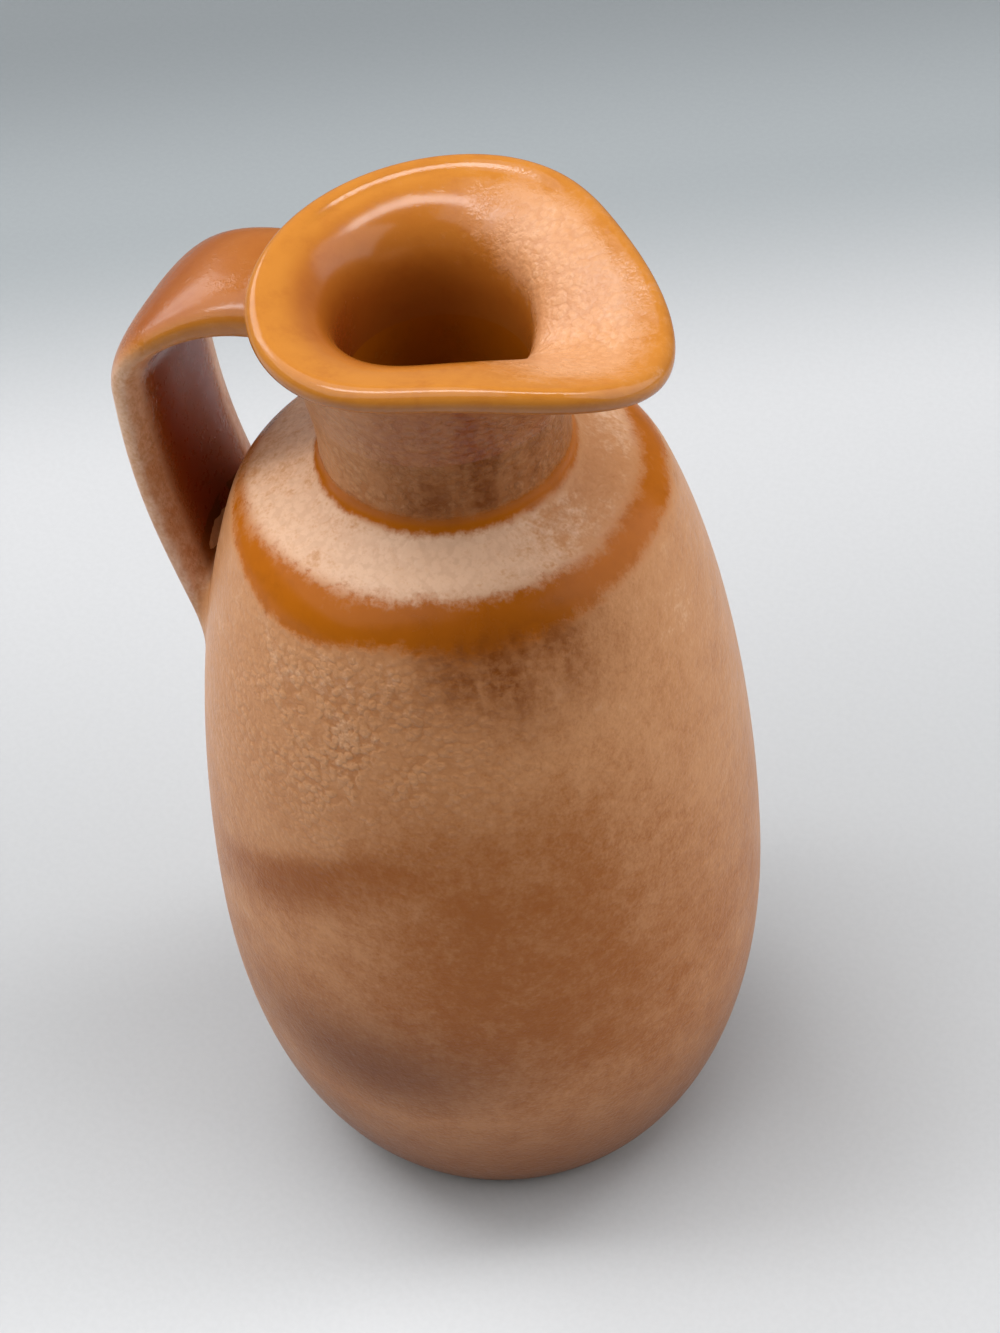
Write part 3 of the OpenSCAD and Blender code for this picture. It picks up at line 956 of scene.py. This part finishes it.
def turned_from(a, at):
    """How far an angle lies from another, at most half a turn."""
    return abs((a - at + math.pi) % (2 * math.pi) - math.pi)


def swelling(a, size, at, half):
    """A soft bump of a given size, place and half width round the rim."""
    return size * math.exp(-(turned_from(a, at) / half) ** 2)


def rim(a):
    """Middle of the rolled bead at an angle from the spout, as radius and height."""
    pull = abs(math.cos(a / 2)) ** SPOUT_POWER
    dip = abs(math.cos((a - spout_turn) / 2)) ** DIP_POWER
    pinch = swelling(a, *NEAR_PINCH) + swelling(a, *FAR_PINCH)
    radius = lip_r + lip_shift * math.cos(a) + spout_reach * pull - pinch
    height = lip_z - spout_dip * dip + swelling(a, *NEAR_LIFT)
    return np.array((radius, height))


print("rim at the spout", rim(0).round(4), "and at the handle", rim(math.pi).round(4))

# %% The groove inside the far bead
GROOVE_D = 0.21 * MM
GROOVE_MORE = 0.12 * MM
GROOVE_AT = 1.8 * MM
GROOVE_HALF = 1.0 * MM
GROOVE_START = 0.6 * GROOVE_AT
GROOVE_SIDE = side(114, 33)
GROOVE_FADE = (1.05, 1.7)


def groove_depth(a, walked):
    """Depth of the groove at an angle, for points that lie some way in from the bead."""
    groove_angle, groove_half_turn = GROOVE_SIDE
    off = turned_from(a, groove_angle) / groove_half_turn
    deepest = (GROOVE_D + GROOVE_MORE * off ** 2) * (1 - smooth(*GROOVE_FADE, off))
    return deepest * hump(walked, GROOVE_AT, GROOVE_HALF) * smooth(0, GROOVE_START, walked)


print("the groove is", round(GROOVE_D / MM, 2), "mm deep in its middle")

# %% One section of the lip
bead_r = 2.0 * MM
lip_rise = math.radians(12)
outward_rise = np.array((math.cos(lip_rise), math.sin(lip_rise)))
upward_rise = np.array((-math.sin(lip_rise), math.cos(lip_rise)))
UNDER_FOOT_SHARE = 0.5
UNDER_EDGE_SHARE = 0.55
INSIDE_THROAT_SHARE = 0.75
INSIDE_EDGE_SHARE = 0.75
THROAT_SHARE = 0.15
INSIDE_CROWDING = 1.5


def lip_under(a, count):
    foot = np.array((neck_top_r, lip_joint_z))
    slope = np.array((2 * neck_flare / neck_h, 1.0))
    edge = rim(a) - bead_r * upward_rise
    start = foot + UNDER_FOOT_SHARE * (edge[1] - foot[1]) * slope
    end = edge - UNDER_EDGE_SHARE * (edge[0] - foot[0]) * outward_rise
    return cubic(foot, start, end, edge, steps(count))


def lip_bead(a, count):
    bend = lip_rise - math.pi / 2 + math.pi * steps(count)[1:-1]
    return rim(a) + bead_r * np.stack([np.cos(bend), np.sin(bend)], -1)


def lip_inside(a, count):
    edge = rim(a) + bead_r * upward_rise
    throat = np.array((throat_r, lip_joint_z + THROAT_SHARE * (lip_z - lip_joint_z)))
    start = edge - INSIDE_EDGE_SHARE * (edge[0] - throat_r) * outward_rise
    end = throat + (0, INSIDE_THROAT_SHARE * (edge[1] - throat[1]))
    line = cubic(edge, start, end, throat, steps(count) ** INSIDE_CROWDING)
    along = np.gradient(line, axis=0)
    along /= np.linalg.norm(along, axis=1)[:, None]
    walked = np.concatenate([[0], np.linalg.norm(np.diff(line, axis=0), axis=1).cumsum()])
    return line + groove_depth(a, walked)[:, None] * np.stack([-along[:, 1], along[:, 0]], -1)


print("bead radius", round(bead_r / MM, 1), "mm")

# %% How the glaze lies on the lip
UNDER_ROWS, BEAD_ROWS, INSIDE_ROWS = 40, 24, 72
BEND_ROWS = BEAD_ROWS - 2
# Each fade goes from one share of a stretch of rows to another.
NEAR_BEAD_FADE = (0.62, 0.95)
UNDER_BEAD_FADE = (0.15, 0.60)
CHANNEL_IN = (-0.08, 0.18)
CHANNEL_OUT = (0.55, 0.97)
FLARE_FADE = (0.06, 0.36)
THROAT_FADE = (0.55, 0.92)
CHANNEL_ANGLE = math.radians(21)
CHANNEL_HALF = (math.radians(28), math.radians(96))
HANDLE_SIDE = side(-150, 62)
# Painted shade: under the bead, down the flare into the throat, strongest on the handle's side, where less
# light falls.
UNDER_BEAD_SHADE = 0.42
FLARE_SHADE = 0.36
THROAT_SHADE = 0.26
HANDLE_SHADE = 0.6
OTHER_SHADE = 0.75
CHANNEL_THICK = 0.85
LIP_PEEL = 0.1
CHANNEL_PEEL = 0.3
LIP_FOOT_PEEL = 0.7
LIP_FOOT_PALE = 0.7
LIP_FRONT_LESS = 0.2
BEAD_PALE = 0.86


def lip_glaze(net):
    """The lip is amber, with painted shade under the bead and down into the throat, and a channel of thick
    glaze down the spout.
    """
    under = np.concatenate([steps(UNDER_ROWS), np.ones(BEND_ROWS + INSIDE_ROWS + 1)])[:, None]
    bend = np.concatenate([np.zeros(UNDER_ROWS), steps(BEND_ROWS), np.ones(INSIDE_ROWS + 1)])[:, None]
    inside = steps(INSIDE_ROWS) ** INSIDE_CROWDING
    inside = np.concatenate([np.zeros(UNDER_ROWS + BEND_ROWS), inside, [1.0]])[:, None]

    near_bead = smooth(*NEAR_BEAD_FADE, under)
    under_bead = UNDER_BEAD_SHADE * near_bead * (1 - smooth(*UNDER_BEAD_FADE, bend))
    in_channel = smooth(*CHANNEL_IN, inside) * (1 - smooth(*CHANNEL_OUT, inside))
    channel = in_channel * (1 - smooth(*CHANNEL_HALF, np.abs(bearing_from(CHANNEL_ANGLE, net))))
    down_inside = FLARE_SHADE * smooth(*FLARE_FADE, inside) + THROAT_SHADE * smooth(*THROAT_FADE, inside)
    shade_by_side = OTHER_SHADE + HANDLE_SHADE * patch_at(*HANDLE_SIDE, net)
    foot_pale = LIP_FOOT_PALE - LIP_FRONT_LESS * patch_at(*FRONT, net)
    return {
        "thin": near_bead * (1 - CHANNEL_THICK * channel),
        "streak": neck_streak_and_shade(net) * (1 - near_bead),
        "shade": (1 - channel) * shade_by_side * down_inside + under_bead,
        "peel": LIP_PEEL + CHANNEL_PEEL * channel + LIP_FOOT_PEEL * (1 - near_bead),
        "pale": foot_pale * (1 - near_bead) + BEAD_PALE * near_bead,
    }


print("the lip has", UNDER_ROWS + BEND_ROWS + INSIDE_ROWS + 1, "rows")

# %% Loft the pouring lip
sections = []
for a in angles:
    foot_line = [(throat_r, lip_joint_z)]
    parts = [lip_under(a, UNDER_ROWS), lip_bead(a, BEAD_ROWS), lip_inside(a, INSIDE_ROWS), foot_line]
    sections.append(np.concatenate(parts))
sections = np.array(sections).transpose(1, 0, 2)
lip_net = round_net(sections[..., 0], sections[..., 1])
pouring_lip = skin("lip_with_spout", lip_net, lip_glaze(lip_net), loop=True)
pouring_lip.data.materials.append(AMBER)

# %% [markdown]
# ## The strap handle
# A potter pulls a strap from a lump of wet clay, bends it over and presses it on under the lip and on the
# belly. A curve with a bevel could make an even strap, but this one changes along its way: towards the lip
# it is thicker and narrows, mostly on its near side. So a flattened round section is swept along two cubic
# curves that meet upright at the widest reach. The exponent in the section squares it off a little, as a
# pulled strap is: flat across and round at its edges.

# %% How far a point stands off the pot
pot_side = np.concatenate([belly_outer, neck_corner_curve, neck_outer[1:]])
LIP_SIDE_COUNT = 24


def pot_radius(z, bearing=math.pi):
    """Outer radius of the pot at a height. Above the neck the lip's own section at that bearing counts."""
    if z <= lip_joint_z:
        return np.interp(z, pot_side[:, 1], pot_side[:, 0])
    under = lip_under(bearing, LIP_SIDE_COUNT)
    return np.interp(z, under[:, 1], under[:, 0])


def stand_off(points):
    """How far each point lies outside the pot."""
    return np.array([math.hypot(x, y) - pot_radius(z, math.atan2(y, x)) for x, y, z in points])


print("pot radius at the ridge", round(float(pot_radius(ridge[1])), 4))

# %% The line of the strap
strap_reach = ridge[0] + 13.5 * MM
strap_reach_z = lip_z - 21 * MM
strap_root_z = lip_z - 9 * MM
strap_crown = 6.1 * MM
strap_heel_z = 84 * MM
strap_sink = 9 * MM
CROWN_SHARE = 0.57
FALL_SHARE = 0.85
DROP_SHARE = 0.42
TUCK_SHARES = (0.6, 0.45)
STRAP_ROWS = 90

root = np.array((pot_radius(strap_root_z) - strap_sink, strap_root_z))
heel = np.array((pot_radius(strap_heel_z) - strap_sink, strap_heel_z))
reach = np.array((strap_reach, strap_reach_z))
crown = np.array((root[0] + CROWN_SHARE * (strap_reach - root[0]), strap_root_z + strap_crown))
fall = np.array((strap_reach, strap_reach_z + FALL_SHARE * (strap_root_z - strap_reach_z)))
drop = np.array((strap_reach, strap_reach_z - DROP_SHARE * (strap_reach_z - strap_heel_z)))
tuck = heel + TUCK_SHARES * (reach - heel)
upper_arc = cubic(root, crown, fall, reach, steps(STRAP_ROWS))
lower_arc = cubic(reach, drop, tuck, heel, steps(STRAP_ROWS))
strap_line = np.concatenate([upper_arc, lower_arc[1:]])
strap_dir = np.gradient(strap_line, axis=0)
strap_dir /= np.linalg.norm(strap_dir, axis=1)[:, None]
# The place along the strap goes from 0 at the lip over 1 at the widest reach to 2 at the heel.
strap_place = np.linspace(0, 2, len(strap_line))
print("strap runs from", root.round(4), "over", reach.round(4), "to", heel.round(4))

# %% The section of the strap
strap_near = 12.75 * MM
strap_far = 13.2 * MM
strap_t = 5.8 * MM
top_near_less = 5.0 * MM
top_far_less = 1.2 * MM
top_thicker = 1.9 * MM
strap_spread = 2.5 * MM
TOP_FADE = (0.15, 0.75)
SPREAD_POWER = 4
STRAP_POWER = 2.6
STRAP_SIDES = 72
sweep = np.linspace(0, 2 * math.pi, STRAP_SIDES, endpoint=False)


def squared(value):
    return np.sign(value) * np.abs(value) ** (2 / STRAP_POWER)


top_part = (1 - smooth(*TOP_FADE, strap_place))[:, None]
end_flare = (strap_spread / 2 * np.abs(strap_place - 1) ** SPREAD_POWER)[:, None]
near_half = strap_near - top_near_less * top_part + end_flare
far_half = strap_far - top_far_less * top_part + end_flare
lift = squared(np.cos(sweep))[None, :] * (strap_t + top_thicker * top_part) / 2
across = squared(np.sin(sweep))[None, :]
strap_net = np.stack([
    -(strap_line[:, 0][:, None] - strap_dir[:, 1][:, None] * lift),
    across * np.where(across < 0, near_half, far_half),
    strap_line[:, 1][:, None] + strap_dir[:, 0][:, None] * lift,
], -1)
print("strap net has", strap_net.shape[0], "rows and", strap_net.shape[1], "columns")

# %% How the glaze lies on the strap
OUTER_FADE = (0.0, 0.7)
INNER_FADE = (0.6, 0.97)
UNDER_FADE = (-0.8, -0.1)
CROWN_FADE = (0.45, 1.0)
HEEL_FADE = (1.0, 1.8)
BEND_PLACE = 0.55
BEND_HALF = 0.22
CROWN_THIN = 0.85
OUTER_THIN = 0.30
INNER_THIN = 0.9
# Painted shade: darkest on the inner face, which faces the pot, and darker towards the heel.
INNER_PAINTED_SHADE = 0.95
OUTER_SHADE = 0.42
BEND_SHADE = 0.2
HEEL_PAINTED_SHADE = 0.28
STRAP_PEEL = 0.15
HEEL_LESS = 0.25

outer_face = smooth(*OUTER_FADE, np.cos(sweep))[None, :]
inner_face = smooth(*INNER_FADE, -np.cos(sweep))[None, :]
not_under = smooth(*UNDER_FADE, np.cos(sweep))[None, :]
from_crown = (1 - smooth(*CROWN_FADE, strap_place))[:, None]
towards_heel = smooth(*HEEL_FADE, strap_place)[:, None]
on_bend = hump(strap_place, BEND_PLACE, BEND_HALF)[:, None]
thin_faces = np.maximum(OUTER_THIN * outer_face, INNER_THIN * inner_face)
strap_thin = np.maximum(CROWN_THIN * from_crown * not_under, thin_faces)
outer_shade = np.maximum((OUTER_SHADE + BEND_SHADE * on_bend) * outer_face, HEEL_PAINTED_SHADE * towards_heel)
strap_marks = {
    "thin": strap_thin,
    "streak": np.zeros_like(strap_thin),
    "shade": np.maximum(INNER_PAINTED_SHADE * inner_face, outer_shade),
    "peel": np.full_like(strap_thin, STRAP_PEEL),
    "pale": 1.0 - HEEL_LESS * towards_heel * outer_face,
}
print("strap glaze is darkest inside, at", INNER_PAINTED_SHADE)

# %% Sweep the strap and end it under the pot's face
STRAP_BURIED = 1.2 * MM


def trimmed(net, depth):
    """Ends each line along the strap just under the pot's face, so that nothing shows inside the pot."""
    rows = np.arange(len(net))
    kept = np.empty_like(net)
    for column in range(net.shape[1]):
        line = net[:, column]
        outside = np.nonzero(stand_off(line) > -depth)[0]
        at = np.linspace(outside.min(), outside.max(), len(net))
        kept[:, column] = np.stack([np.interp(at, rows, line[:, axis]) for axis in range(3)], -1)
    return kept


strap = skin("strap_handle", trimmed(strap_net, STRAP_BURIED), strap_marks)
strap.data.materials.append(AMBER)

# %% [markdown]
# ## The clay that joins the strap
# Where the strap meets the pot a coil of soft clay is pressed into the corner and wiped smooth. A bevel
# can't do that across two pieces, so each line along the strap is followed to where it enters the pot. From
# a point a little way up the strap a curve leaves along that line and lands on the pot, so it is smooth at
# both ends. All those curves together make the fillet. Three more points close it out of sight, inside
# strap and pot.

# %% One curve from the strap to the pot
LUTING_CLIMB = 5 * MM
LUTING_SPREAD = 3.5 * MM
LUTING_ROWS = 16
PULL_SHARE = 0.6
UNDER_POT = 1.0 * MM
UNDER_STRAP = 0.5 * MM
SMALLEST_R = 0.001 * MM


def unit(line):
    return line / np.linalg.norm(line)


def on_pot(point, depth=0.0):
    """Moves a point in or out from the axis until it lies on the pot, or a little inside it."""
    radius = pot_radius(point[2], math.atan2(point[1], point[0])) - depth
    scale = radius / max(math.hypot(point[0], point[1]), SMALLEST_R)
    return np.array((point[0] * scale, point[1] * scale, point[2]))


def luting_curve(line, middles):
    """The fillet along one line of the strap, ordered outwards from the pot, and its hidden way back."""
    gap = stand_off(line)
    inside = np.nonzero(gap < 0)[0].max()
    share = -gap[inside] / (gap[inside + 1] - gap[inside])
    enter = line[inside] + (line[inside + 1] - line[inside]) * share
    length = np.linalg.norm(np.diff(line[inside + 1:], axis=0), axis=1).cumsum()
    climb_row = inside + 2 + np.searchsorted(length, LUTING_CLIMB)
    top = line[climb_row]
    along = unit(line[climb_row] - line[climb_row - 1])
    outward = top - middles[climb_row]
    outward = unit(outward - along * (outward @ along))
    land = on_pot(enter + LUTING_SPREAD * outward)
    spread = unit(land - on_pot(enter + LUTING_SPREAD / 2 * outward))
    start = top - along * PULL_SHARE * np.linalg.norm(top - enter)
    end = land - spread * PULL_SHARE * LUTING_SPREAD
    curve = cubic(top, start, end, land, steps(LUTING_ROWS))
    sunk_in = outward * UNDER_STRAP
    hidden = [on_pot(land, UNDER_POT), on_pot(enter, UNDER_POT) - sunk_in, top - sunk_in]
    return np.concatenate([curve, hidden])


print("each curve climbs", round(LUTING_CLIMB / MM, 1), "mm and spreads", round(LUTING_SPREAD / MM, 1), "mm")

# %% Fill the corners between strap and pot
LUTING_END_ROW = 20
INNER_WIPE = 2


def luting(name, rows_from_pot):
    """Fillet round one end of the strap, from the strap's rows ordered outwards from the pot."""
    end_net = strap_net[rows_from_pot]
    middles = end_net.mean(1)
    curves = [luting_curve(end_net[:, column], middles) for column in range(STRAP_SIDES)]
    net = np.array(curves).transpose(1, 0, 2)
    way_down = np.clip(np.arange(len(net)) / (LUTING_ROWS - 1), 0, 1)[:, None]
    wiped = way_down ** (1 + INNER_WIPE * inner_face)
    marks = {}
    for label, on_the_pot in glaze_on_pot(net).items():
        on_the_strap = strap_marks[label][rows_from_pot[LUTING_END_ROW]][None, :]
        marks[label] = (1 - wiped) * on_the_strap + wiped * on_the_pot
    return skin(name, net, marks, loop=True)


row_order = np.arange(len(strap_line))
upper_luting = luting("upper_luting_coil", row_order[:STRAP_ROWS])
lower_luting = luting("lower_luting_coil", row_order[::-1][:STRAP_ROWS])
upper_luting.data.materials.append(AMBER)
lower_luting.data.materials.append(TAN)

# %% [markdown]
# ## Putting the pot together
# Each piece stands for one solid in the same place, and that solid is hidden.
# Nothing on the pot moves, so every piece rides on the one body.

# %% Tie each piece to its solid
for piece, node, slot in (
    (belly, "belly", "tan_glaze"),
    (shoulder, "shoulder", "tan_glaze"),
    (neck, "neck", "tan_glaze"),
    (pouring_lip, "pouring_lip", "amber_glaze"),
    (strap, "handle_strap", "amber_glaze"),
    (upper_luting, "upper_luting", "amber_glaze"),
    (lower_luting, "lower_luting", "tan_glaze"),
):
    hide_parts(node)
    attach(piece, "root")
    print(piece.name, "stands for", node)
